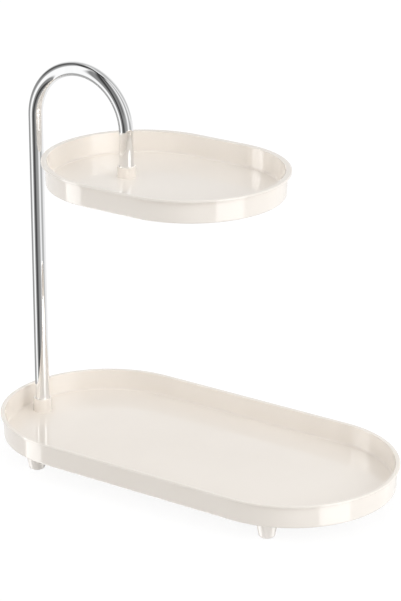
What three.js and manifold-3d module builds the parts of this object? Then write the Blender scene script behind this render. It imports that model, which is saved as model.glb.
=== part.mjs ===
import * as THREE from "three";
import { mergeVertices } from "three/addons/utils/BufferGeometryUtils.js";
import Module from "manifold-3d";

const wasm = await Module();
wasm.setup();

// All sizes are in millimetres. X runs along the trays, Z is up, and the table is Z = 0.
// The origin lies on the table under the middle of the lower tray.

// Trays: two oblong dishes with straight sides and half-round ends.
const LOWER_LENGTH = 304;
const LOWER_WIDTH = 149.2;
const LOWER_LIP_OVERHANG = 1.5;
const UPPER_LENGTH = 176.2;
const UPPER_WIDTH = 136;
const UPPER_LIP_OVERHANG = 2.6;
const TRAY_HEIGHT = 16.8;
const FLOOR_THICKNESS = 1.8;
const WALL_THICKNESS = 1.4;
const WALL_DRAFT = 0.4;
const LIP_THICKNESS = 1.8;
const RIM_ROUND = 0.45;
const FLOOR_FILLET = 1.5;
const BASE_ROUND = 0.9;

// Collars: round sockets that stand on the tray floors and take the ends of the cane.
// The tube stands on a web inside each collar, with the screw and washer sunk below the web.
const COLLAR_WALL = 1.35;
const COLLAR_ROUND = 0.5;
const LOWER_COLLAR_RISE = 10.2;
const UPPER_COLLAR_RISE = 7.8;
const WEB_THICKNESS = 1.8;

// Cane: one bent tube with a long post, a half-circle bend and a short leg. Its bend is the top.
// The upper drop runs from that top to the underside of the upper tray, and each inset
// from the left end of its tray to the middle of the tube.
const OVERALL_HEIGHT = 280.9;
const TUBE_DIAMETER = 10;
const TUBE_WALL = 0.8;
const BEND_RADIUS = 38.8;
const UPPER_DROP = 76.1;
const POST_INSET = 17.5;
const LEG_INSET = 55.6;

// Plugs, screws and washers that clamp each end of the cane to its tray.
const PLUG_LENGTH = 12;
const SCREW_DIAMETER = 4;
const SCREW_LENGTH = 12;
const SCREW_POINT = 0.6;
const HEAD_DIAMETER = 7.6;
const HEAD_HEIGHT = 2.4;
const HEAD_ROUND = 0.9;
const SLOT_LENGTH = 4.4;
const SLOT_WIDTH = 1;
const SLOT_DEPTH = 1.3;
const WASHER_DIAMETER = 9;
const WASHER_THICKNESS = 0.8;
const HEAD_RECESS = 0.3;

// Feet: round tapered cups pushed over pegs under the lower tray, each with a soft pad below.
const FOOT_END_INSET = 56;
const FOOT_SIDE_INSET = 18;
const FOOT_HEIGHT = 13.2;
const FOOT_TOP_DIAMETER = 15.4;
const FOOT_BASE_DIAMETER = 11.6;
const FOOT_ROUND = 2;
const PEG_DIAMETER = 6;
const PEG_LENGTH = 8;
const PAD_DIAMETER = 5.6;
const PAD_THICKNESS = 1.6;
const PAD_SHOWN = 0.4;

// Clearances.
const TUBE_FIT = 0.15;
const PRESS_FIT = 0.2;
const SCREW_FIT = 0.25;
const HEAD_FIT = 0.4;
const SEAT_GAP = 0.15;

// Facets round each shape.
const TRAY_SEGMENTS = 74;
const COLLAR_SEGMENTS = 40;
const TUBE_SEGMENTS = 24;
const BEND_STEPS = 26;
const SMALL_SEGMENTS = 24;
const ROUND_STEPS = 3;
const EDGE_STEPS = 2;
const MERGE_DISTANCE = 1e-3;
const CUT_OVERRUN = 1;

const QUARTER_TURN = Math.PI / 2;

const tubeRadius = TUBE_DIAMETER / 2;
const boreRadius = tubeRadius - TUBE_WALL;
const socketRadius = tubeRadius + TUBE_FIT;
const collarRadius = socketRadius + COLLAR_WALL;
const screwHoleRadius = SCREW_DIAMETER / 2 + SCREW_FIT;
const counterboreRadius = WASHER_DIAMETER / 2 + HEAD_FIT;
const headSeat = HEAD_RECESS + HEAD_HEIGHT;
const washerSeat = headSeat + SEAT_GAP;
const counterboreDepth = washerSeat + WASHER_THICKNESS + SEAT_GAP;
const socketFloor = counterboreDepth + WEB_THICKNESS;
const tubeEnd = socketFloor + SEAT_GAP;
const lowerUnderside = FOOT_HEIGHT;
const upperUnderside = OVERALL_HEIGHT - UPPER_DROP;
const postX = POST_INSET - LOWER_LENGTH / 2;
const bendCentreX = postX + BEND_RADIUS;
const legX = bendCentreX + BEND_RADIUS;
const upperCentreX = legX - LEG_INSET + UPPER_LENGTH / 2;
const bendCentreZ = OVERALL_HEIGHT - BEND_RADIUS - tubeRadius;
const footX = LOWER_LENGTH / 2 - FOOT_END_INSET;
const footY = LOWER_WIDTH / 2 - FOOT_SIDE_INSET;
const footTop = FOOT_HEIGHT - SEAT_GAP;

const ivory = { color: 0xede6db, roughness: 0.12, metalness: 0 };
const chrome = { color: 0xdcdee0, roughness: 0.06, metalness: 1 };
const steel = { color: 0xb4b6b8, roughness: 0.32, metalness: 1 };
const silicone = { color: 0xe3e2dd, roughness: 0.6, metalness: 0 };

const trayStand = new THREE.Group();
trayStand.name = "two_tier_vanity_tray";

function solidFrom(geometry) {
  const bare = geometry.index ? geometry.toNonIndexed() : geometry.clone();
  bare.deleteAttribute("normal");
  bare.deleteAttribute("uv");
  const merged = mergeVertices(bare, MERGE_DISTANCE);
  return new wasm.Manifold(
    new wasm.Mesh({
      numProp: 3,
      vertProperties: merged.attributes.position.array,
      triVerts: new Uint32Array(merged.index.array),
    }),
  );
}

function geometryFrom(solid) {
  const mesh = solid.getMesh();
  const geometry = new THREE.BufferGeometry();
  geometry.setAttribute("position", new THREE.BufferAttribute(mesh.vertProperties, 3));
  geometry.setIndex(new THREE.BufferAttribute(mesh.triVerts, 1));
  geometry.computeVertexNormals();
  return geometry;
}

function addPiece(name, geometry, look, x, y, z) {
  const piece = new THREE.Mesh(geometry, new THREE.MeshStandardMaterial(look));
  piece.name = name;
  piece.position.set(x, y, z);
  trayStand.add(piece);
}

// Points on a circular arc in a profile, as [radius, height] pairs.
function arc(centreRadius, centreHeight, radius, from, to, steps) {
  const points = [];
  for (let i = 0; i <= steps; i += 1) {
    const angle = from + ((to - from) * i) / steps;
    points.push([
      centreRadius + radius * Math.cos(angle),
      centreHeight + radius * Math.sin(angle),
    ]);
  }
  return points;
}

// A profile of [radius, height] pairs turned about the Z axis.
function turned(profile, segments, startAngle = 0) {
  const points = profile.map(([radius, height]) => new THREE.Vector2(radius, height));
  const geometry = new THREE.LatheGeometry(points, segments, startAngle);
  geometry.rotateX(QUARTER_TURN);
  return geometry;
}

// A turned dish whose two halves are pulled apart along X, leaving straight sides between them.
function oblong(profile, halfStraight) {
  const halfStep = Math.PI / TRAY_SEGMENTS;
  const geometry = turned(profile, TRAY_SEGMENTS, halfStep);
  const place = geometry.getAttribute("position");
  for (let i = 0; i < place.count; i += 1) {
    const x = place.getX(i);
    place.setX(i, x + Math.sign(x) * halfStraight);
    place.setY(i, place.getY(i) / Math.cos(halfStep));
  }
  return geometry;
}

// Floor, drafted wall and overhanging lip, from the middle of the underside round
// to the middle of the floor.
function trayProfile(halfWidth, overhang) {
  const wallTop = halfWidth - overhang;
  const wallBase = wallTop - WALL_DRAFT;
  const lipBase = TRAY_HEIGHT - LIP_THICKNESS;
  const insideTop = wallTop - WALL_THICKNESS;
  const insideBase = wallBase - WALL_THICKNESS;
  const lipEdge = halfWidth - RIM_ROUND;
  const rimTop = TRAY_HEIGHT - RIM_ROUND;
  const filletHeight = FLOOR_THICKNESS + FLOOR_FILLET;
  return [
    [0, 0],
    ...arc(wallBase - BASE_ROUND, BASE_ROUND, BASE_ROUND, -QUARTER_TURN, 0, ROUND_STEPS),
    [wallTop, lipBase],
    ...arc(lipEdge, lipBase + RIM_ROUND, RIM_ROUND, -QUARTER_TURN, 0, EDGE_STEPS),
    ...arc(lipEdge, rimTop, RIM_ROUND, 0, QUARTER_TURN, EDGE_STEPS),
    ...arc(insideTop + RIM_ROUND, rimTop, RIM_ROUND, QUARTER_TURN, Math.PI, EDGE_STEPS),
    ...arc(insideBase - FLOOR_FILLET, filletHeight, FLOOR_FILLET, 0, -QUARTER_TURN, ROUND_STEPS),
    [0, FLOOR_THICKNESS],
  ];
}

// A plain round bar between two heights, used for pegs and for the holes that are cut.
function bar(radius, bottom, top, segments) {
  return turned([[0, bottom], [radius, bottom], [radius, top], [0, top]], segments);
}

// One tray with its collar: socket for the tube above the web, screw hole through it, counterbore below.
function traySolid(length, width, overhang, collarX, collarRise) {
  const dish = oblong(trayProfile(width / 2, overhang), (length - width) / 2);
  const collarTop = FLOOR_THICKNESS + collarRise;
  const edgeRadius = collarRadius - COLLAR_ROUND;
  const edgeHeight = collarTop - COLLAR_ROUND;
  const collar = turned(
    [
      [0, 0],
      [collarRadius, 0],
      ...arc(edgeRadius, edgeHeight, COLLAR_ROUND, 0, QUARTER_TURN, ROUND_STEPS),
      [0, collarTop],
    ],
    COLLAR_SEGMENTS,
  );
  const socket = bar(socketRadius, socketFloor, collarTop + CUT_OVERRUN, COLLAR_SEGMENTS);
  const screwHole = bar(screwHoleRadius, -CUT_OVERRUN, socketFloor + CUT_OVERRUN, SMALL_SEGMENTS);
  const counterbore = bar(counterboreRadius, -CUT_OVERRUN, counterboreDepth, COLLAR_SEGMENTS);
  const cuts = [socket, screwHole, counterbore];
  let solid = solidFrom(dish).add(solidFrom(collar.translate(collarX, 0, 0)));
  for (const cut of cuts) {
    solid = solid.subtract(solidFrom(cut.translate(collarX, 0, 0)));
  }
  return solid;
}

const footSpots = [
  ["front_left", -footX, -footY],
  ["front_right", footX, -footY],
  ["back_left", -footX, footY],
  ["back_right", footX, footY],
];

let lowerTray = traySolid(LOWER_LENGTH, LOWER_WIDTH, LOWER_LIP_OVERHANG, postX, LOWER_COLLAR_RISE);
for (const [, x, y] of footSpots) {
  const peg = bar(PEG_DIAMETER / 2, -PEG_LENGTH, FLOOR_THICKNESS / 2, SMALL_SEGMENTS);
  lowerTray = lowerTray.add(solidFrom(peg.translate(x, y, 0)));
}
addPiece("lower_tray", geometryFrom(lowerTray), ivory, 0, 0, lowerUnderside);

const upperCollarX = legX - upperCentreX;
const upperTray = traySolid(UPPER_LENGTH, UPPER_WIDTH, UPPER_LIP_OVERHANG, upperCollarX, UPPER_COLLAR_RISE);
addPiece("upper_tray", geometryFrom(upperTray), ivory, upperCentreX, 0, upperUnderside);

// The line down the middle of the cane: one step up the post, even steps round the bend,
// one step down the leg.
class CaneLine extends THREE.Curve {
  getPoint(t) {
    const step = t * (BEND_STEPS + 2);
    const bendStep = Math.min(Math.max(step - 1, 0), BEND_STEPS);
    const angle = Math.PI * (1 - bendStep / BEND_STEPS);
    const point = new THREE.Vector3(
      bendCentreX + BEND_RADIUS * Math.cos(angle),
      0,
      bendCentreZ + BEND_RADIUS * Math.sin(angle),
    );
    const postDrop = bendCentreZ - lowerUnderside - tubeEnd;
    const legDrop = bendCentreZ - upperUnderside - tubeEnd;
    point.z -= postDrop * Math.max(1 - step, 0);
    point.z -= legDrop * Math.max(step - BEND_STEPS - 1, 0);
    return point;
  }

  getPointAt(u) {
    return this.getPoint(u);
  }

  getTangentAt(u) {
    return this.getTangent(u);
  }
}

const tubeSection = new THREE.Shape();
tubeSection.absarc(0, 0, tubeRadius, 0, 2 * Math.PI);
const tubeBore = new THREE.Path();
tubeBore.absarc(0, 0, boreRadius, 0, 2 * Math.PI, true);
tubeSection.holes.push(tubeBore);
const caneTube = new THREE.ExtrudeGeometry(tubeSection, {
  steps: BEND_STEPS + 2,
  curveSegments: TUBE_SEGMENTS / 2,
  extrudePath: new CaneLine(),
});
addPiece("cane_tube", caneTube, chrome, 0, 0, 0);

// A ring with a square section.
function ring(innerRadius, outerRadius, bottom, top) {
  const profile = [
    [innerRadius, bottom],
    [outerRadius, bottom],
    [outerRadius, top],
    [innerRadius, top],
    [innerRadius, bottom],
  ];
  return turned(profile, SMALL_SEGMENTS);
}

// Pan-head screw standing on its head, with a cross slot in the underside of the head.
function screwSolid() {
  const headRadius = HEAD_DIAMETER / 2;
  const shankRadius = SCREW_DIAMETER / 2;
  const shankTop = HEAD_HEIGHT + SCREW_LENGTH;
  const blank = turned(
    [
      [0, 0],
      ...arc(headRadius - HEAD_ROUND, HEAD_ROUND, HEAD_ROUND, -QUARTER_TURN, 0, ROUND_STEPS),
      [headRadius, HEAD_HEIGHT],
      [shankRadius, HEAD_HEIGHT],
      [shankRadius, shankTop - SCREW_POINT],
      [shankRadius - SCREW_POINT, shankTop],
      [0, shankTop],
    ],
    SMALL_SEGMENTS,
  );
  const across = new THREE.BoxGeometry(SLOT_LENGTH, SLOT_WIDTH, 2 * SLOT_DEPTH);
  const along = new THREE.BoxGeometry(SLOT_WIDTH, SLOT_LENGTH, 2 * SLOT_DEPTH);
  return solidFrom(blank).subtract(solidFrom(across)).subtract(solidFrom(along));
}

const plug = ring(screwHoleRadius, boreRadius - PRESS_FIT, 0, PLUG_LENGTH);
const washer = ring(screwHoleRadius, WASHER_DIAMETER / 2, 0, WASHER_THICKNESS);
const screw = geometryFrom(screwSolid());
const caneEnds = [
  ["post", postX, lowerUnderside],
  ["leg", legX, upperUnderside],
];
for (const [end, x, underside] of caneEnds) {
  addPiece(end + "_plug", plug.clone(), steel, x, 0, underside + tubeEnd);
  addPiece(end + "_washer", washer.clone(), steel, x, 0, underside + washerSeat);
  addPiece(end + "_screw", screw.clone(), steel, x, 0, underside + HEAD_RECESS);
}

// A foot, open above for its peg and below for its pad.
function footGeometry() {
  const baseRadius = FOOT_BASE_DIAMETER / 2;
  const pegHole = PEG_DIAMETER / 2 + PRESS_FIT;
  const pegHoleFloor = FOOT_HEIGHT - PEG_LENGTH - SEAT_GAP;
  const padHole = PAD_DIAMETER / 2 + PRESS_FIT;
  const padSeat = PAD_THICKNESS + SEAT_GAP;
  const profile = [
    [0, padSeat],
    [padHole, padSeat],
    [padHole, PAD_SHOWN],
    ...arc(baseRadius - FOOT_ROUND, PAD_SHOWN + FOOT_ROUND, FOOT_ROUND, -QUARTER_TURN, 0, ROUND_STEPS),
    [FOOT_TOP_DIAMETER / 2, footTop],
    [pegHole, footTop],
    [pegHole, pegHoleFloor],
    [0, pegHoleFloor],
  ];
  return turned(profile, SMALL_SEGMENTS);
}

const foot = footGeometry();
const pad = bar(PAD_DIAMETER / 2, 0, PAD_THICKNESS, SMALL_SEGMENTS);
for (const [spot, x, y] of footSpots) {
  addPiece("foot_" + spot, foot.clone(), ivory, x, y, 0);
  addPiece("foot_pad_" + spot, pad.clone(), silicone, x, y, 0);
}

export default trayStand;
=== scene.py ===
"""Looks of the two-tier vanity tray: glossy ivory dishes, a chrome cane, fixings, feet, light and camera.

Lengths are millimetres in the part's own frame until add_piece turns them into metres.
X runs along the trays, Z is up and the table is Z = 0. A section is a list of (radius, height)
points that runs round its piece with the solid on its left.
"""

import bpy
import numpy as np
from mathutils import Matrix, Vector


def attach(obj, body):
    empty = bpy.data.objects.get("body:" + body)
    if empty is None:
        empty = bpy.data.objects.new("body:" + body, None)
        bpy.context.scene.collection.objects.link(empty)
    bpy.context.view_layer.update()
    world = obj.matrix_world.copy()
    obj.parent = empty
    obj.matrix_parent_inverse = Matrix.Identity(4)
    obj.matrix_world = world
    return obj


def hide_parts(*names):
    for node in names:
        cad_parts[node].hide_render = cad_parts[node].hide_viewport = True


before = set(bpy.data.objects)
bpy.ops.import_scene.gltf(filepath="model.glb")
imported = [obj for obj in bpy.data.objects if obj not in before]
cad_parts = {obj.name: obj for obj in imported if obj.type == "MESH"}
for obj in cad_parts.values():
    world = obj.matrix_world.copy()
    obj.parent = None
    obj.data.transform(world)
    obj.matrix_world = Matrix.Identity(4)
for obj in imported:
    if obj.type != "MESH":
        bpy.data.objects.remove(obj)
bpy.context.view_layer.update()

MM = 0.001

# Trays.
LOWER = {
    "length": 304.0,
    "width": 149.2,
    "overhang": 1.5,
    "centre_x": 0.0,
    "underside": 13.2,
    "collar_x": -134.5,
    "collar_rise": 10.2,
}
UPPER = {
    "length": 176.2,
    "width": 136.0,
    "overhang": 2.6,
    "centre_x": -24.4,
    "underside": 204.8,
    "collar_x": -56.9,
    "collar_rise": 7.8,
}
TRAY_HEIGHT = 16.8
FLOOR = 1.8
WALL = 1.4
WALL_DRAFT = 0.4
LIP = 1.8
LIP_FILLET = 0.3
RIM_ROUND = 0.45
FLOOR_FILLET = 1.5
BASE_ROUND = 0.9

# Collars, with the socket for the tube, the web, the screw hole and the counterbore.
COLLAR_RADIUS = 6.5
COLLAR_ROUND = 0.5
COLLAR_FILLET = 0.5
SOCKET_RADIUS = 5.15
SOCKET_ROUND = 0.3
SOCKET_FLOOR = 5.6
SCREW_HOLE_RADIUS = 2.25
COUNTERBORE_RADIUS = 4.9
COUNTERBORE_DEPTH = 3.8
COUNTERBORE_ROUND = 0.3

# Cane.
TUBE_RADIUS = 5.0
TUBE_BORE = 4.2
TUBE_EDGE = 0.2
BEND_RADIUS = 38.8
BEND_CENTRE_Z = 237.1
POST_END = 18.95
LEG_END = 210.55

# Fixings, measured from the underside of their tray.
HEAD_RECESS = 0.3
HEAD_RADIUS = 3.8
HEAD_HEIGHT = 2.4
HEAD_ROUND = 0.9
HEAD_DISH = 0.15
SLOT_LENGTH = 4.4
SLOT_WIDTH = 1.0
SLOT_DEPTH = 1.3
SLOT_SLOPE = 0.28
SHANK_RADIUS = 2.0
SHANK_LENGTH = 12.0
SHANK_POINT = 0.6
THREAD_PITCH = 0.7
THREAD_DEPTH = 0.38
WASHER_RADIUS = 4.5
WASHER_SEAT = 2.85
WASHER_THICKNESS = 0.8
WASHER_ROUND = 0.15

# Feet and pads.
FOOT_X = 96.0
FOOT_Y = 56.6
FOOT_TOP = 13.05
FOOT_TOP_RADIUS = 7.7
FOOT_BASE_RADIUS = 5.8
FOOT_ROUND = 2.0
FOOT_EDGE = 0.3
PEG_RADIUS = 3.0
PEG_LENGTH = 8.0
PEG_ROUND = 0.4
PEG_HOLE_RADIUS = 3.2
PEG_HOLE_FLOOR = 5.05
PAD_RADIUS = 2.8
PAD_HOLE_RADIUS = 3.0
PAD_SEAT = 1.75
PAD_THICKNESS = 1.6
PAD_SHOWN = 0.4
PAD_ROUND = 0.35
FOOT_SPOTS = {
    "front_left": (-FOOT_X, -FOOT_Y),
    "front_right": (FOOT_X, -FOOT_Y),
    "back_left": (-FOOT_X, FOOT_Y),
    "back_right": (FOOT_X, FOOT_Y),
}

# Camera, solved from the outlines of both trays and the tube.
CAMERA_PLACE = (0.897672, -1.303093, 0.726662)
CAMERA_AZIMUTH = 34.4409
CAMERA_ELEVATION = 20.7114
CAMERA_LENS = 149.0185

# Columns or sides round each shape, and steps along it.
LOWER_COLUMNS = 560
UPPER_COLUMNS = 480
OUTLINE_TRIALS = 6001
TUBE_SIDES = 72
POST_STEPS = 24
BEND_STEPS = 120
LEG_STEPS = 6
TUBE_END_STEP = 4
SCREW_COLUMNS = 120
FACE_STEPS = 32
SHANK_STEPS = 171
SHANK_START = 0.1
WASHER_SIDES = 64
FOOT_SIDES = 72
PEG_SIDES = 48
PAD_SIDES = 48
PAD_MIDDLE = 0.4

# Shares of the way along a straight stretch and across a tray floor, close to both ends, and the angle in
# degrees over which an edge stays crisp. They keep flat places flat in the shading.
FLAT_SHARES = [0.02, 0.5, 0.98]
RULED_SHARES = np.concatenate([[0.004], np.linspace(0.06, 0.94, 10), [0.996]])
CRISP_ANGLE = 35

# Tints of the plastics, and the range that holds most of a noise's values.
IVORY = (0.857, 0.804, 0.742), (0.877, 0.826, 0.766)
# The feet's tint is the trays' ivory painted paler. This is painted light that brightens the feet where they
# stand in the shade under the tray.
IVORY_PAINTED_PALER = (0.96, 0.915, 0.865), (0.975, 0.93, 0.88)
NOISE_LOW, NOISE_HIGH = 0.3, 0.7

# Roughness of the trays' matt undersides, and how far from the flat of the underside it reaches.
MATT_ROUGHNESS = 0.5
MATT_REACH = 0.02

# Floor under the object, in metres: its grey, and the grey and glow that the camera sees instead.
STAGE_SIZE = 8
STAGE_DROP = 0.00005
STAGE_GREY = 0.7
STAGE_SEEN_GREY = 0.14
STAGE_GLOW = 0.9

# Even light of the world on matt surfaces.
WORLD_LEVEL = 0.78

# Cards that stand round the object in the studio that chrome shows. Each gives the bearing of its middle
# from +X towards +Y, its half width and soft edge, its lowest and highest height, all in degrees, and its
# light as a share of white. A later card stands before an earlier one.
CHROME_ROOM = 0.55
CHROME_CARDS = {
    "low back wall": (86, 44, 15, -110, -1, 0.95),
    "right back wall": (37, 16, 14, -1, 85, 0.95),
    "left back wall": (125, 41, 20, -7, 34, 0.95),
    "high back wall": (133, 14, 14, 55, 76, 0.85),
    "left dark": (178, 22, 19, -8, 90, 0.1),
    "low left grey": (180, 17, 12, -110, 7, 0.3),
    "left panel": (230, 16, 4, -110, 57, 1.1),
    "left panel frame": (247, 5, 5, -110, 57, 0.3),
    "front dark": (283, 29, 14, -110, 82, 0.1),
    "front grey": (310, 18, 15, -110, 44, 0.35),
    "camera": (310, 7, 7, 7, 53, 0.15),
    "right panel": (349, 12, 6, -110, 83, 1.0),
    "right panel frame": (17, 8, 8, -110, 80, 0.45),
    "high left dark": (199, 18, 8, 54, 80, 0.05),
    "front gap": (272, 6, 6, -60, 73, 0.05),
    "front strip": (287, 6, 6, -7, 76, 0.25),
    "high front dark": (300, 8, 7, 56, 76, 0.03),
    "overhead dark": (278, 106, 20, 75, 120, 0.01),
    "overhead white": (82, 64, 10, 74, 120, 0.95),
}

# The studio that plastic shows. The trays stand nearer to the panels than the tube does, so these lie a
# little further apart. The last four cards are seen in the feet.
TRAY_ROOM = 1.0
TRAY_CARDS = {
    "low front dark": (263, 35, 20, -40, 13, 0.1),
    "upper room": (180, 360, 2, 9, 120, 0.65),
    "back white": (124, 31, 13, 20, 120, 1.05),
    "left dark": (179, 20, 17, 0, 120, 0.15),
    "left panel": (216, 13, 4, -34, 120, 1.2),
    "front grey": (277, 47, 15, 0, 120, 0.2),
    "front gap": (266, 10, 9, 0, 120, 0.05),
    "right panel": (353, 18, 4, 5, 120, 1.0),
    "left foot light": (205, 26, 4, -120, -36, 5.2),
    "right foot light": (36, 22, 5, -120, -35, 4.2),
    "back foot dark": (125, 51, 15, -120, -36, 0.15),
    "front foot grey": (290, 59, 9, -120, -37, 0.55),
}

# Degrees over which the upper and lower ends of a card fade, to either side.
CARD_FADE = 6.0

# Shares of white, by bearing in degrees, that two panels add to what plastic shows: straight to the eye, where
# only upright faces show them, and after a glance off a second face, in some rows of height.
PANELS = {
    0: 0.8, 10: 0.8, 13: 0.2, 70: 0.15, 100: 0,
    202: 0, 205: 0.9, 218: 0.8, 226: 0.65, 229: 0,
    334: 0, 337: 0.8,
}
SECOND_PANELS = {0: 0.8, 9.5: 0.8, 11: 0, 203: 0, 205: 0.9, 228: 0.9, 230: 0, 338: 0, 339.5: 0.8}
SECOND_ROWS = {
    0: 0, 6: 0, 7: 1, 15.6: 1, 16: 0.1, 17.9: 0.1, 18.5: 1,
    21.4: 1, 21.8: 0.22, 24.3: 0.22, 24.9: 1, 30: 1, 31: 0,
}
CHROME_ROWS = 0.2
PANEL_SHINE = 4.0
PANEL_SECOND_SHINE = 11.0
PANEL_FILL = 11.5
PANEL_FOOT = -30.0
PANEL_TOP = 68.0
PANEL_WALL_TOP = 4.0

# Counts of Light Path, where the first bounce has a ray depth of 2 at the world.
FIRST_BOUNCE_DEPTH = 2.5
NO_DIFFUSE_DEPTH = 0.5


def arc(centre_radius, centre_height, radius, start, end, steps=6):
    """A circular arc in a section: centre plus radius times cosine and sine, from start to end in degrees."""
    angle = np.radians(np.linspace(start, end, steps + 1))
    return np.column_stack([centre_radius + radius * np.cos(angle), centre_height + radius * np.sin(angle)])


def flat(start, end):
    """Points on the straight line from start to end: start plus each share times the way to the end."""
    return np.asarray(start) + np.outer(FLAT_SHARES, np.subtract(end, start))


def grid_faces(rings, columns, closed):
    """Four-sided faces between each ring and the next, round the columns, and round the rings if closed."""
    here = np.arange(rings * columns).reshape(rings, columns)
    beside = np.roll(here, -1, axis=1)
    above = np.roll(here, -1, axis=0)
    across = np.roll(beside, -1, axis=0)
    quads = np.stack([here, beside, across, above], axis=-1)
    return (quads if closed else quads[:-1]).reshape(-1, 4)


def closed_surface(rings):
    """Points and faces of a ring-shaped skin: a grid of rings by columns that closes on itself both ways."""
    count, columns = rings.shape[:2]
    return rings.reshape(-1, 3), grid_faces(count, columns, closed=True).tolist()


def capped_surface(first_pole, rings, last_pole):
    """Points and faces of a ball-shaped skin: open rings with a fan of triangles to a pole at either end."""
    count, columns = rings.shape[:2]
    points = np.vstack([rings.reshape(-1, 3), first_pole, last_pole])
    column = np.arange(columns)
    beside = np.roll(column, -1)
    top = (count - 1) * columns
    first_fan = np.column_stack([np.full(columns, count * columns), beside, column])
    last_fan = np.column_stack([np.full(columns, count * columns + 1), top + column, top + beside])
    quads = grid_faces(count, columns, closed=False)
    return points, quads.tolist() + first_fan.tolist() + last_fan.tolist()


def circles(section, bearing, axis_x=0.0, axis_y=0.0, base=0.0):
    """Each section point carried round an upright axis: radius times cosine and sine of the bearing."""
    radius, height = np.asarray(section, float).T
    x = axis_x + np.outer(radius, np.cos(bearing))
    y = axis_y + np.outer(radius, np.sin(bearing))
    z = np.broadcast_to((base + height)[:, None], x.shape)
    return np.stack([x, y, z], axis=-1)


def turned(section, sides, axis_x, axis_y, base):
    """A section turned about an upright axis. One that begins and ends on the axis gets two poles."""
    section = np.asarray(section, float)
    bearing = np.linspace(0, 2 * np.pi, sides, endpoint=False)
    if section[0, 0] > 0:
        return closed_surface(circles(section, bearing, axis_x, axis_y, base))
    poles = [[axis_x, axis_y, base + section[end, 1]] for end in (0, -1)]
    return capped_surface(poles[0], circles(section[1:-1], bearing, axis_x, axis_y, base), poles[1])


def tray_columns(tray, columns):
    """Spine place, facing and collar bearing of each upright column of a tray.

    The outline is walked from the middle of its right end: a quarter circle, a straight side, a half circle,
    the other side and a quarter circle. A column stands at a place on the spine between the two end centres
    and faces square off the outline there. Columns are spread evenly in the mean of two shares, distance
    walked and bearing turned about the collar, so the oblong and the small collar are both fine.
    """
    half_straight = (tray["length"] - tray["width"]) / 2
    half_width = tray["width"] / 2
    quarter = np.pi * half_width / 2
    walk = np.cumsum([0, quarter, 2 * half_straight, 2 * quarter, 2 * half_straight, quarter])
    spine_stops = np.array([1, 1, -1, -1, 1, 1]) * half_straight
    facing_stops = np.radians([0, 90, 90, 270, 270, 360])
    collar = tray["collar_x"] - tray["centre_x"]

    def stand(distance):
        spine = np.interp(distance, walk, spine_stops)
        facing = np.interp(distance, walk, facing_stops)
        x = spine + half_width * np.cos(facing) - collar
        bearing = np.unwrap(np.arctan2(half_width * np.sin(facing), x))
        return spine, facing, bearing

    trial = np.linspace(0, walk[-1], OUTLINE_TRIALS)
    turn = stand(trial)[2] / (2 * np.pi)
    share = (trial / walk[-1] + turn - turn[0]) / 2
    return stand(np.interp(np.arange(columns) / columns, share, trial))


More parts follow.
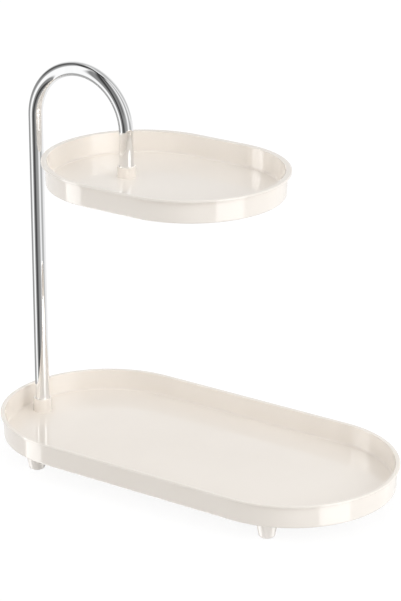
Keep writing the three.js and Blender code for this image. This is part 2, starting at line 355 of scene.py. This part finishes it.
def tray_surface(tray, columns):
    """One tray as a single skin round its screw hole.

    Outside the floor each ring is the oblong outline at an offset: spine place plus offset along the facing.
    Round the collar each ring is a circle about the collar. Floor and underside are ruled between the two.
    """
    spine, facing, bearing = tray_columns(tray, columns)
    wall_top = tray["width"] / 2 - tray["overhang"]
    wall_base = wall_top - WALL_DRAFT
    inside_top = wall_top - WALL
    inside_base = wall_base - WALL
    lip_edge = tray["width"] / 2 - RIM_ROUND
    lip_base = TRAY_HEIGHT - LIP
    rim_top = TRAY_HEIGHT - RIM_ROUND
    collar_top = FLOOR + tray["collar_rise"]

    def oblongs(section):
        offset, height = np.asarray(section, float).T
        x = tray["centre_x"] + spine + np.outer(offset, np.cos(facing))
        y = np.outer(offset, np.sin(facing))
        z = np.broadcast_to((tray["underside"] + height)[:, None], x.shape)
        return np.stack([x, y, z], axis=-1)

    def ruled(start, end):
        return start + RULED_SHARES[:, None, None] * (end - start)

    wall_foot = [wall_base, BASE_ROUND]
    wall_head = [wall_top, lip_base - LIP_FILLET]
    inner_head = [inside_top, rim_top]
    inner_foot = [inside_base, FLOOR + FLOOR_FILLET]
    dish = oblongs(
        np.vstack(
            [
                arc(wall_base - BASE_ROUND, BASE_ROUND, BASE_ROUND, -90, 0),
                flat(wall_foot, wall_head),
                arc(wall_top + LIP_FILLET, lip_base - LIP_FILLET, LIP_FILLET, 180, 90, 4),
                arc(lip_edge, lip_base + RIM_ROUND, RIM_ROUND, -90, 0),
                flat([lip_edge + RIM_ROUND, lip_base + RIM_ROUND], [lip_edge + RIM_ROUND, rim_top]),
                arc(lip_edge, rim_top, RIM_ROUND, 0, 90),
                flat([lip_edge, TRAY_HEIGHT], [inside_top + RIM_ROUND, TRAY_HEIGHT]),
                arc(inside_top + RIM_ROUND, rim_top, RIM_ROUND, 90, 180),
                flat(inner_head, inner_foot),
                arc(inside_base - FLOOR_FILLET, FLOOR + FLOOR_FILLET, FLOOR_FILLET, 0, -90, 8),
            ]
        )
    )
    collar_foot = [COLLAR_RADIUS, FLOOR + COLLAR_FILLET]
    collar_head = [COLLAR_RADIUS, collar_top - COLLAR_ROUND]
    counterbore_edge = COUNTERBORE_RADIUS + COUNTERBORE_ROUND
    collar = circles(
        np.vstack(
            [
                arc(COLLAR_RADIUS + COLLAR_FILLET, FLOOR + COLLAR_FILLET, COLLAR_FILLET, 270, 180),
                flat(collar_foot, collar_head),
                arc(COLLAR_RADIUS - COLLAR_ROUND, collar_top - COLLAR_ROUND, COLLAR_ROUND, 0, 90),
                arc(SOCKET_RADIUS + SOCKET_ROUND, collar_top - SOCKET_ROUND, SOCKET_ROUND, 90, 180, 4),
                flat([SOCKET_RADIUS, collar_top - SOCKET_ROUND], [SOCKET_RADIUS, SOCKET_FLOOR]),
                [[SOCKET_RADIUS, SOCKET_FLOOR]],
                flat([SOCKET_RADIUS, SOCKET_FLOOR], [SCREW_HOLE_RADIUS, SOCKET_FLOOR]),
                [[SCREW_HOLE_RADIUS, SOCKET_FLOOR], [SCREW_HOLE_RADIUS, COUNTERBORE_DEPTH]],
                flat([SCREW_HOLE_RADIUS, COUNTERBORE_DEPTH], [COUNTERBORE_RADIUS, COUNTERBORE_DEPTH]),
                [[COUNTERBORE_RADIUS, COUNTERBORE_DEPTH]],
                flat([COUNTERBORE_RADIUS, COUNTERBORE_DEPTH], [COUNTERBORE_RADIUS, COUNTERBORE_ROUND]),
                arc(counterbore_edge, COUNTERBORE_ROUND, COUNTERBORE_ROUND, 180, 270, 4),
            ]
        ),
        bearing,
        axis_x=tray["collar_x"],
        base=tray["underside"],
    )
    floor = ruled(dish[-1], collar[0])
    underside = ruled(collar[-1], dish[0])
    return closed_surface(np.concatenate([dish, floor, collar, underside]))


def cane_surface(sides):
    """The bent tube as a single skin, out along its outside and back along its bore.

    The middle line climbs the post, turns half a circle about the bend's centre and comes down the leg.
    Each ring is that line plus the radius times cosine and sine of the angle round it, measured from the
    direction away from the bend's centre towards +Y.
    """
    post_x, leg_x = LOWER["collar_x"], UPPER["collar_x"]
    post_length, leg_length = BEND_CENTRE_Z - POST_END, BEND_CENTRE_Z - LEG_END
    climb = np.concatenate([[0, TUBE_EDGE], np.linspace(TUBE_END_STEP, post_length, POST_STEPS)])
    leg_steps = np.linspace(0, leg_length - TUBE_END_STEP, LEG_STEPS)[1:]
    descent = np.concatenate([leg_steps, leg_length - np.array([TUBE_EDGE, 0])])
    turn = np.linspace(0, np.pi, BEND_STEPS + 1)[1:]
    angle = np.concatenate([np.zeros_like(climb), turn, np.full_like(descent, np.pi)])
    drop = np.concatenate([post_length - climb, np.zeros_like(turn), descent])
    outward = np.stack([-np.cos(angle), np.zeros_like(angle), np.sin(angle)], axis=-1)
    bend_centre = [(post_x + leg_x) / 2, 0, BEND_CENTRE_Z]
    middle = bend_centre + BEND_RADIUS * outward - drop[:, None] * [0, 0, 1]
    outside = np.full_like(angle, TUBE_RADIUS)
    outside[[0, -1]] -= TUBE_EDGE
    line = np.concatenate([middle, middle[::-1]])
    away = np.concatenate([outward, outward[::-1]])
    radius = np.concatenate([outside, np.full_like(angle, TUBE_BORE)])
    around = np.linspace(0, 2 * np.pi, sides, endpoint=False)
    spoke = np.cos(around)[:, None] * away[:, None, :] + np.sin(around)[:, None] * [0, 1, 0]
    return closed_surface(line[:, None, :] + radius[:, None, None] * spoke)


def screw_surface(axis_x, underside):
    """A pan-head screw, head down.

    The head's face is a height over radius and bearing: a shallow dish, sunk by the slot depth inside a cross
    whose walls slope in. The shank's radius falls from crest to root with the distance along the helix,
    height less pitch times turns, taken as a sawtooth that rises and falls once in each pitch.
    """
    bearing = np.linspace(0, 2 * np.pi, SCREW_COLUMNS, endpoint=False)
    face_radius = np.linspace(0, HEAD_RADIUS - HEAD_ROUND, FACE_STEPS)[1:]
    x = np.outer(face_radius, np.cos(bearing))
    y = np.outer(face_radius, np.sin(bearing))
    along = np.minimum(SLOT_LENGTH / 2 - np.abs(x), SLOT_WIDTH / 2 - np.abs(y))
    across = np.minimum(SLOT_LENGTH / 2 - np.abs(y), SLOT_WIDTH / 2 - np.abs(x))
    inside = np.clip(np.maximum(along, across) / SLOT_SLOPE, 0, 1)
    sunk = HEAD_DISH * (1 - (face_radius / face_radius[-1]) ** 2)[:, None]
    face = np.stack([x, y, np.maximum(sunk, SLOT_DEPTH * inside)], axis=-1)
    edge = arc(HEAD_RADIUS - HEAD_ROUND, HEAD_ROUND, HEAD_ROUND, -90, 0)[1:]
    seat = [[HEAD_RADIUS, HEAD_HEIGHT], [SHANK_RADIUS, HEAD_HEIGHT]]
    head = circles(np.vstack([edge, flat(edge[-1], seat[0]), seat]), bearing)
    rise = np.linspace(SHANK_START, SHANK_LENGTH, SHANK_STEPS)[:, None]
    phase = (rise / THREAD_PITCH - bearing / (2 * np.pi)) % 1
    run_in = np.clip((rise - SHANK_START) / THREAD_PITCH, 0, 1)
    groove = THREAD_DEPTH * (1 - np.abs(2 * phase - 1)) * run_in
    point = np.clip(rise - SHANK_LENGTH + SHANK_POINT, 0, None)
    radius = np.minimum(SHANK_RADIUS - groove, SHANK_RADIUS - point)
    height = np.broadcast_to(HEAD_HEIGHT + rise, radius.shape)
    shank = np.stack([radius * np.cos(bearing), radius * np.sin(bearing), height], axis=-1)
    place = [axis_x, 0, underside + HEAD_RECESS]
    rings = np.concatenate([face, head, shank]) + place
    first_pole = np.add(place, [0, 0, SLOT_DEPTH])
    last_pole = np.add(place, [0, 0, HEAD_HEIGHT + SHANK_LENGTH])
    return capped_surface(first_pole, rings, last_pole)


def washer_section():
    """A flat ring with its four edges rounded."""
    inner, outer = SCREW_HOLE_RADIUS + WASHER_ROUND, WASHER_RADIUS - WASHER_ROUND
    low, high = WASHER_ROUND, WASHER_THICKNESS - WASHER_ROUND
    return np.vstack(
        [
            arc(inner, low, WASHER_ROUND, 180, 270, 3),
            flat([inner, 0], [outer, 0]),
            arc(outer, low, WASHER_ROUND, -90, 0, 3),
            arc(outer, high, WASHER_ROUND, 0, 90, 3),
            flat([outer, WASHER_THICKNESS], [inner, WASHER_THICKNESS]),
            arc(inner, high, WASHER_ROUND, 90, 180, 3),
        ]
    )


def foot_section():
    """A tapered cup: pad hole below, rounded toe, flaring side, flat top and peg hole."""
    toe = arc(FOOT_BASE_RADIUS - FOOT_ROUND, PAD_SHOWN + FOOT_ROUND, FOOT_ROUND, -90, 0, 12)
    brow = arc(FOOT_TOP_RADIUS - FOOT_EDGE, FOOT_TOP - FOOT_EDGE, FOOT_EDGE, 0, 90, 4)
    return np.vstack(
        [
            [[0, PAD_SEAT], [PAD_HOLE_RADIUS, PAD_SEAT], [PAD_HOLE_RADIUS, PAD_SHOWN]],
            toe,
            flat(toe[-1], brow[0]),
            brow,
            [[PEG_HOLE_RADIUS, FOOT_TOP], [PEG_HOLE_RADIUS, PEG_HOLE_FLOOR], [0, PEG_HOLE_FLOOR]],
        ]
    )


def pad_section():
    """A round button with a softened lower edge."""
    return np.vstack(
        [
            [[0, 0]],
            flat([PAD_MIDDLE, 0], [PAD_RADIUS - PAD_ROUND, 0]),
            arc(PAD_RADIUS - PAD_ROUND, PAD_ROUND, PAD_ROUND, -90, 0),
            [[PAD_RADIUS, PAD_THICKNESS], [0, PAD_THICKNESS]],
        ]
    )


def peg_section():
    """A round peg that hangs from the middle of the tray's floor, with a rounded tip."""
    return np.vstack(
        [
            [[0, -PEG_LENGTH]],
            arc(PEG_RADIUS - PEG_ROUND, PEG_ROUND - PEG_LENGTH, PEG_ROUND, -90, 0),
            [[PEG_RADIUS, FLOOR / 2], [0, FLOOR / 2]],
        ]
    )


def joined(*surfaces):
    """Several skins as one list of points and faces."""
    points, faces = [], []
    start = 0
    for piece_points, piece_faces in surfaces:
        points.append(piece_points)
        faces.extend([[start + corner for corner in face] for face in piece_faces])
        start += len(piece_points)
    return np.vstack(points), faces


def add_piece(name, surface, body, material, slot, *nodes):
    """A smooth-shaded mesh in metres, with its sharp edges kept crisp, in place of its CAD nodes."""
    points, faces = surface
    mesh = bpy.data.meshes.new(name)
    mesh.from_pydata((np.asarray(points) * MM).tolist(), [], faces)
    mesh.shade_smooth()
    mesh.set_sharp_from_angle(angle=np.radians(CRISP_ANGLE))
    mesh.materials.append(material)
    piece = bpy.data.objects.new(name, mesh)
    bpy.context.scene.collection.objects.link(piece)
    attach(piece, body)
    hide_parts(*nodes)


def new_material(name):
    """An empty node material: its tree, its Principled shader and the piece's own coordinates."""
    material = bpy.data.materials.new(name)
    material.use_nodes = True
    tree = material.node_tree
    shader = tree.nodes["Principled BSDF"]
    coordinates = tree.nodes.new("ShaderNodeTexCoord").outputs["Object"]
    return material, tree, shader, coordinates


def noise(tree, coordinates, scale, detail=2.0, stretch=(1, 1, 1)):
    """Soft noise of scale cycles a metre, with the coordinates stretched first."""
    mapping = tree.nodes.new("ShaderNodeMapping")
    mapping.inputs["Scale"].default_value = stretch
    texture = tree.nodes.new("ShaderNodeTexNoise")
    texture.inputs["Scale"].default_value = scale
    texture.inputs["Detail"].default_value = detail
    tree.links.new(coordinates, mapping.inputs["Vector"])
    tree.links.new(mapping.outputs["Vector"], texture.inputs["Vector"])
    return texture.outputs["Fac"]


def between(tree, value, low, high):
    """The middle range of a noise spread from low to high."""
    spread = tree.nodes.new("ShaderNodeMapRange")
    spread.inputs["From Min"].default_value = NOISE_LOW
    spread.inputs["From Max"].default_value = NOISE_HIGH
    spread.inputs["To Min"].default_value = low
    spread.inputs["To Max"].default_value = high
    tree.links.new(value, spread.inputs["Value"])
    return spread.outputs["Result"]


def tinted(tree, value, first, second):
    """A colour that drifts from first to second with the value."""
    ramp = tree.nodes.new("ShaderNodeValToRGB")
    low, high = ramp.color_ramp.elements
    low.position, low.color = NOISE_LOW, (*first, 1)
    high.position, high.color = NOISE_HIGH, (*second, 1)
    tree.links.new(value, ramp.inputs["Fac"])
    return ramp.outputs["Color"]


def bumped(tree, value, height):
    """Normals of a surface raised by up to height, in metres, with the value."""
    bump = tree.nodes.new("ShaderNodeBump")
    bump.inputs["Distance"].default_value = height
    tree.links.new(value, bump.inputs["Height"])
    return bump.outputs["Normal"]


def on_undersides(tree, coordinates):
    """One at the height of either tray's underside and nothing elsewhere."""
    place = tree.nodes.new("ShaderNodeSeparateXYZ")
    tree.links.new(coordinates, place.inputs["Vector"])
    either = tree.nodes.new("ShaderNodeMath")
    either.operation = "MAXIMUM"
    for socket, tray in zip(either.inputs, (LOWER, UPPER)):
        level = tree.nodes.new("ShaderNodeMath")
        level.operation = "COMPARE"
        level.inputs[1].default_value = tray["underside"] * MM
        level.inputs[2].default_value = MATT_REACH * MM
        tree.links.new(place.outputs["Z"], level.inputs[0])
        tree.links.new(level.outputs["Value"], socket)
    return either.outputs["Value"]


def moulded_plastic(name, first, second):
    """Glossy moulded plastic: drifting tint, a faint moulding ripple, uneven polish, matt undersides."""
    material, tree, shader, coordinates = new_material(name)
    tint = noise(tree, coordinates, scale=18)
    ripple = noise(tree, coordinates, scale=55)
    polish = noise(tree, coordinates, scale=420, detail=4)
    tree.links.new(tinted(tree, tint, first, second), shader.inputs["Base Color"])
    finish = tree.nodes.new("ShaderNodeMix")
    finish.inputs["B"].default_value = MATT_ROUGHNESS
    tree.links.new(on_undersides(tree, coordinates), finish.inputs["Factor"])
    tree.links.new(between(tree, polish, low=0.03, high=0.05), finish.inputs["A"])
    tree.links.new(finish.outputs["Result"], shader.inputs["Roughness"])
    tree.links.new(bumped(tree, ripple, height=0.00001), shader.inputs["Normal"])
    shader.inputs["IOR"].default_value = 1.54
    return material


def chrome_plate():
    """Polished chrome on drawn tube: a cool tint and a fine lengthwise unevenness of the polish."""
    material, tree, shader, coordinates = new_material("chrome_plate")
    drawn = noise(tree, coordinates, scale=260, detail=3, stretch=(1, 1, 0.04))
    tint = tinted(tree, drawn, (0.86, 0.865, 0.87), (0.90, 0.903, 0.905))
    tree.links.new(tint, shader.inputs["Base Color"])
    tree.links.new(between(tree, drawn, low=0.001, high=0.003), shader.inputs["Roughness"])
    tree.links.new(bumped(tree, drawn, height=0.000001), shader.inputs["Normal"])
    shader.inputs["Metallic"].default_value = 1
    return material


def zinc_steel():
    """Zinc-plated steel: mottled grey with a dull, uneven sheen."""
    material, tree, shader, coordinates = new_material("zinc_steel")
    mottle = noise(tree, coordinates, scale=900, detail=5)
    tint = tinted(tree, mottle, (0.44, 0.445, 0.45), (0.60, 0.605, 0.61))
    tree.links.new(tint, shader.inputs["Base Color"])
    tree.links.new(between(tree, mottle, low=0.22, high=0.40), shader.inputs["Roughness"])
    tree.links.new(bumped(tree, mottle, height=0.00002), shader.inputs["Normal"])
    shader.inputs["Metallic"].default_value = 1
    return material


def silicone():
    """Milky silicone rubber with a fine matt grain."""
    material, tree, shader, coordinates = new_material("silicone")
    grain = noise(tree, coordinates, scale=3200, detail=3)
    tint = tinted(tree, grain, (0.66, 0.66, 0.64), (0.72, 0.72, 0.70))
    tree.links.new(tint, shader.inputs["Base Color"])
    tree.links.new(between(tree, grain, low=0.48, high=0.62), shader.inputs["Roughness"])
    tree.links.new(bumped(tree, grain, height=0.00003), shader.inputs["Normal"])
    shader.inputs["IOR"].default_value = 1.41
    return material


def pale_floor():
    """A wide pale floor: near white to the camera with the shadow kept, unseen from below and in gloss."""
    bpy.ops.mesh.primitive_plane_add(size=STAGE_SIZE, location=(0, 0, -STAGE_DROP))
    floor = bpy.context.object
    floor.name = "pale_floor"
    floor.visible_glossy = False
    material = bpy.data.materials.new("pale_floor")
    material.use_nodes = True
    tree = material.node_tree
    tree.nodes.remove(tree.nodes["Principled BSDF"])
    paint = tree.nodes.new("ShaderNodeBsdfDiffuse")
    paint.inputs["Color"].default_value = (*[STAGE_GREY] * 3, 1)
    veil = tree.nodes.new("ShaderNodeBsdfDiffuse")
    veil.inputs["Color"].default_value = (*[STAGE_SEEN_GREY] * 3, 1)
    glow = tree.nodes.new("ShaderNodeEmission")
    glow.inputs["Strength"].default_value = STAGE_GLOW
    seen = tree.nodes.new("ShaderNodeAddShader")
    clear = tree.nodes.new("ShaderNodeBsdfTransparent")
    side = tree.nodes.new("ShaderNodeNewGeometry")
    path = tree.nodes.new("ShaderNodeLightPath")
    sided = tree.nodes.new("ShaderNodeMixShader")
    mixed = tree.nodes.new("ShaderNodeMixShader")
    tree.links.new(veil.outputs["BSDF"], seen.inputs[0])
    tree.links.new(glow.outputs["Emission"], seen.inputs[1])
    tree.links.new(side.outputs["Backfacing"], sided.inputs["Fac"])
    tree.links.new(seen.outputs["Shader"], sided.inputs[1])
    tree.links.new(clear.outputs["BSDF"], sided.inputs[2])
    tree.links.new(path.outputs["Is Camera Ray"], mixed.inputs["Fac"])
    tree.links.new(paint.outputs["BSDF"], mixed.inputs[1])
    tree.links.new(sided.outputs["Shader"], mixed.inputs[2])
    tree.links.new(mixed.outputs["Shader"], tree.nodes["Material Output"].inputs["Surface"])
    floor.data.materials.append(material)


def ramp_round(tree, turn, stops):
    """A grey looked up by a share of a full turn, straight between its stops, which are in degrees."""
    ramp = tree.nodes.new("ShaderNodeValToRGB")
    elements = ramp.color_ramp.elements
    elements[0].position, elements[1].position = 0, 1
    elements[0].color = elements[1].color = (*[stops[0]] * 3, 1)
    for degrees, grey in stops.items():
        if degrees > 0:
            elements.new(degrees / 360).color = (*[grey] * 3, 1)
    tree.links.new(turn, ramp.inputs["Fac"])
    return ramp.outputs["Color"]


def studio_world():
    """White to the camera, even white to matt surfaces, and a studio of cards and panels to glossy ones.

    A card has its place by bearing and height. Its share falls smoothly from one to nothing over its edges,
    and the cards are laid over the grey of the room in turn. Mirror-smooth chrome shows its cards alone.
    Plastic shows its own, with two panels added that are stronger once the light has glanced off a second
    face or reached a matt one.
    """
    world = bpy.data.worlds.new("studio")
    bpy.context.scene.world = world
    world.use_nodes = True
    tree = world.node_tree

    def math(operation, first, second=0.0):
        node = tree.nodes.new("ShaderNodeMath")
        node.operation = operation
        for socket, value in zip(node.inputs, (first, second)):
            if isinstance(value, float):
                socket.default_value = value
            else:
                tree.links.new(value, socket)
        return node.outputs["Value"]

    def mixed(share, first, second):
        node = tree.nodes.new("ShaderNodeMixShader")
        for socket, value in zip(node.inputs, (share, first, second)):
            tree.links.new(value, socket)
        return node.outputs["Shader"]

    def soft_step(value, start, end):
        node = tree.nodes.new("ShaderNodeMapRange")
        node.interpolation_type = "SMOOTHSTEP"
        node.inputs["From Min"].default_value = start
        node.inputs["From Max"].default_value = end
        tree.links.new(value, node.inputs["Value"])
        return node.outputs["Result"]

    def blend(share, first, second):
        node = tree.nodes.new("ShaderNodeMix")
        for name, value in (("Factor", share), ("A", first), ("B", second)):
            if isinstance(value, float):
                node.inputs[name].default_value = value
            else:
                tree.links.new(value, node.inputs[name])
        return node.outputs["Result"]

    def background(strength):
        node = tree.nodes.new("ShaderNodeBackground")
        node.inputs["Color"].default_value = (1, 1, 1, 1)
        node.inputs["Strength"].default_value = strength
        return node

    direction = tree.nodes.new("ShaderNodeSeparateXYZ")
    tree.links.new(tree.nodes.new("ShaderNodeTexCoord").outputs["Generated"], direction.inputs["Vector"])
    turn = math("ARCTAN2", direction.outputs["Y"], direction.outputs["X"])
    bearing = math("FRACT", math("ADD", math("DIVIDE", turn, 2 * np.pi), 1.0))
    height = math("DEGREES", math("ARCSINE", direction.outputs["Z"]))

    def card_light(room, cards):
        light = room
        for middle, half_width, edge, low, high, white in cards.values():
            beyond = math("SUBTRACT", math("MULTIPLY", bearing, 360.0), float(middle))
            aside = math("PINGPONG", beyond, 180.0)
            shown = soft_step(aside, half_width + edge, half_width - edge)
            for end, inward in ((low, CARD_FADE), (high, -CARD_FADE)):
                shown = math("MULTIPLY", shown, soft_step(height, end - inward, end + inward))
            light = blend(shown, light, float(white))
        return light

    path = tree.nodes.new("ShaderNodeLightPath").outputs
    mirror = path["Is Singular Ray"]
    plastic = math("SUBTRACT", 1.0, mirror)
    second = math("GREATER_THAN", path["Ray Depth"], FIRST_BOUNCE_DEPTH)
    on_walls = soft_step(height, PANEL_WALL_TOP + CARD_FADE, PANEL_WALL_TOP - CARD_FADE)
    first = math("MULTIPLY", math("MULTIPLY", math("SUBTRACT", 1.0, second), plastic), on_walls)
    filled = math("MULTIPLY", second, math("GREATER_THAN", path["Diffuse Depth"], NO_DIFFUSE_DEPTH))
    rows = math("MULTIPLY", ramp_round(tree, math("DIVIDE", height, 360.0), SECOND_ROWS), plastic)
    shown_rows = math("MAXIMUM", rows, math("MULTIPLY", mirror, CHROME_ROWS))
    glance = math("MULTIPLY", math("SUBTRACT", second, filled), shown_rows)
    shine = math("ADD", math("MULTIPLY", first, PANEL_SHINE), math("MULTIPLY", filled, PANEL_FILL))
    second_shine = math("MULTIPLY", glance, PANEL_SECOND_SHINE)
    direct = math("MULTIPLY", shine, ramp_round(tree, bearing, PANELS))
    glanced = math("MULTIPLY", second_shine, ramp_round(tree, bearing, SECOND_PANELS))
    below_top = math("LESS_THAN", height, PANEL_TOP)
    reach = math("MULTIPLY", below_top, math("GREATER_THAN", height, PANEL_FOOT))
    panels = math("MULTIPLY", math("ADD", direct, glanced), reach)
    cards = blend(mirror, card_light(TRAY_ROOM, TRAY_CARDS), card_light(CHROME_ROOM, CHROME_CARDS))

    even = background(WORLD_LEVEL).outputs["Background"]
    white = background(1.0).outputs["Background"]
    gloss = background(1.0)
    tree.links.new(math("ADD", cards, panels), gloss.inputs["Strength"])
    unseen = mixed(path["Is Glossy Ray"], even, gloss.outputs["Background"])
    plain = math("MAXIMUM", path["Is Camera Ray"], path["Is Transmission Ray"])
    tree.links.new(mixed(plain, unseen, white), tree.nodes["World Output"].inputs["Surface"])


def lamp_panel(name, aim, bearing, lift, distance, size, level):
    """A soft flat lamp, unseen by the camera and in gloss.

    It stands at a distance from its aim, at a bearing and lift in degrees, and faces it. A matt white face
    turned to it renders at the level, so its power is the level times the square of pi times its distance.
    """
    lamp = bpy.data.lights.new(name, "AREA")
    lamp.shape = "RECTANGLE"
    lamp.size, lamp.size_y = size
    lamp.energy = level * (np.pi * distance) ** 2
    turn, rise = np.radians([bearing, lift])
    towards = Vector((np.cos(turn) * np.cos(rise), np.sin(turn) * np.cos(rise), np.sin(rise)))
    panel = bpy.data.objects.new(name, lamp)
    panel.location = Vector(aim) + towards * distance
    panel.rotation_euler = (-towards).to_track_quat("-Z", "Y").to_euler()
    panel.visible_camera = False
    panel.visible_glossy = False
    bpy.context.scene.collection.objects.link(panel)


def photo_camera():
    """A camera behind the solved place, looking along its azimuth and down by its elevation."""
    azimuth, elevation = np.radians([CAMERA_AZIMUTH, CAMERA_ELEVATION])
    level = np.cos(elevation)
    back = Vector((np.sin(azimuth) * level, -np.cos(azimuth) * level, np.sin(elevation)))
    data = bpy.data.cameras.new("photo_camera")
    data.lens = CAMERA_LENS
    data.sensor_width = 36
    data.clip_start, data.clip_end = 0.05, 50
    camera = bpy.data.objects.new("photo_camera", data)
    camera.location = CAMERA_PLACE
    camera.rotation_euler = (-back).to_track_quat("-Z", "Y").to_euler()
    bpy.context.scene.collection.objects.link(camera)
    bpy.context.scene.camera = camera


ivory = moulded_plastic("ivory_plastic", *IVORY)
# The feet's plastic: the trays' ivory painted paler, as painted light against the shade under the tray.
ivory_painted_paler = moulded_plastic("ivory_plastic_painted_paler", *IVORY_PAINTED_PALER)
chrome = chrome_plate()
steel = zinc_steel()
rubber = silicone()

pegs = [turned(peg_section(), PEG_SIDES, x, y, LOWER["underside"]) for x, y in FOOT_SPOTS.values()]
lower_skin = joined(tray_surface(LOWER, LOWER_COLUMNS), *pegs)
add_piece("lower_dish", lower_skin, "base", ivory, "ivory_plastic", "lower_tray")
upper_skin = tray_surface(UPPER, UPPER_COLUMNS)
add_piece("upper_dish", upper_skin, "upper", ivory, "ivory_plastic", "upper_tray")
add_piece("bent_tube", cane_surface(TUBE_SIDES), "cane", chrome, "chrome_tube", "cane_tube")

for end, tray, tray_body in (("post", LOWER, "base"), ("leg", UPPER, "upper")):
    place = tray["collar_x"], tray["underside"]
    washer = turned(washer_section(), WASHER_SIDES, place[0], 0, place[1] + WASHER_SEAT)
    add_piece(end + "_flat_washer", washer, tray_body, steel, "steel_fixings", end + "_washer")
    add_piece(end + "_pan_screw", screw_surface(*place), "cane", steel, "steel_fixings", end + "_screw")
    plug_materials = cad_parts[end + "_plug"].data.materials
    plug_materials.clear()
    plug_materials.append(steel)

for spot, (x, y) in FOOT_SPOTS.items():
    foot = turned(foot_section(), FOOT_SIDES, x, y, 0)
    add_piece("cup_foot_" + spot, foot, "base", ivory_painted_paler, "ivory_plastic", "foot_" + spot)
    pad = turned(pad_section(), PAD_SIDES, x, y, 0)
    add_piece("grip_pad_" + spot, pad, "base", rubber, "foot_pads", "foot_pad_" + spot)

pale_floor()
studio_world()
lamp_panel("right_softbox", (-0.03, 0, 0.1), 0, 30, distance=2.5, size=(1.2, 1.2), level=0.245)
lamp_panel("left_softbox", (-0.03, 0, 0.1), 240, 30, distance=2.5, size=(1.2, 1.2), level=0.135)
lamp_panel("right_table_light", (0, 0, 0.02), 350, 0, distance=0.65, size=(0.6, 0.035), level=0.1)
lamp_panel("left_table_light", (0, 0, 0.02), 215, 0, distance=0.65, size=(0.6, 0.035), level=0.055)
photo_camera()
bpy.context.scene.view_settings.view_transform = "Standard"
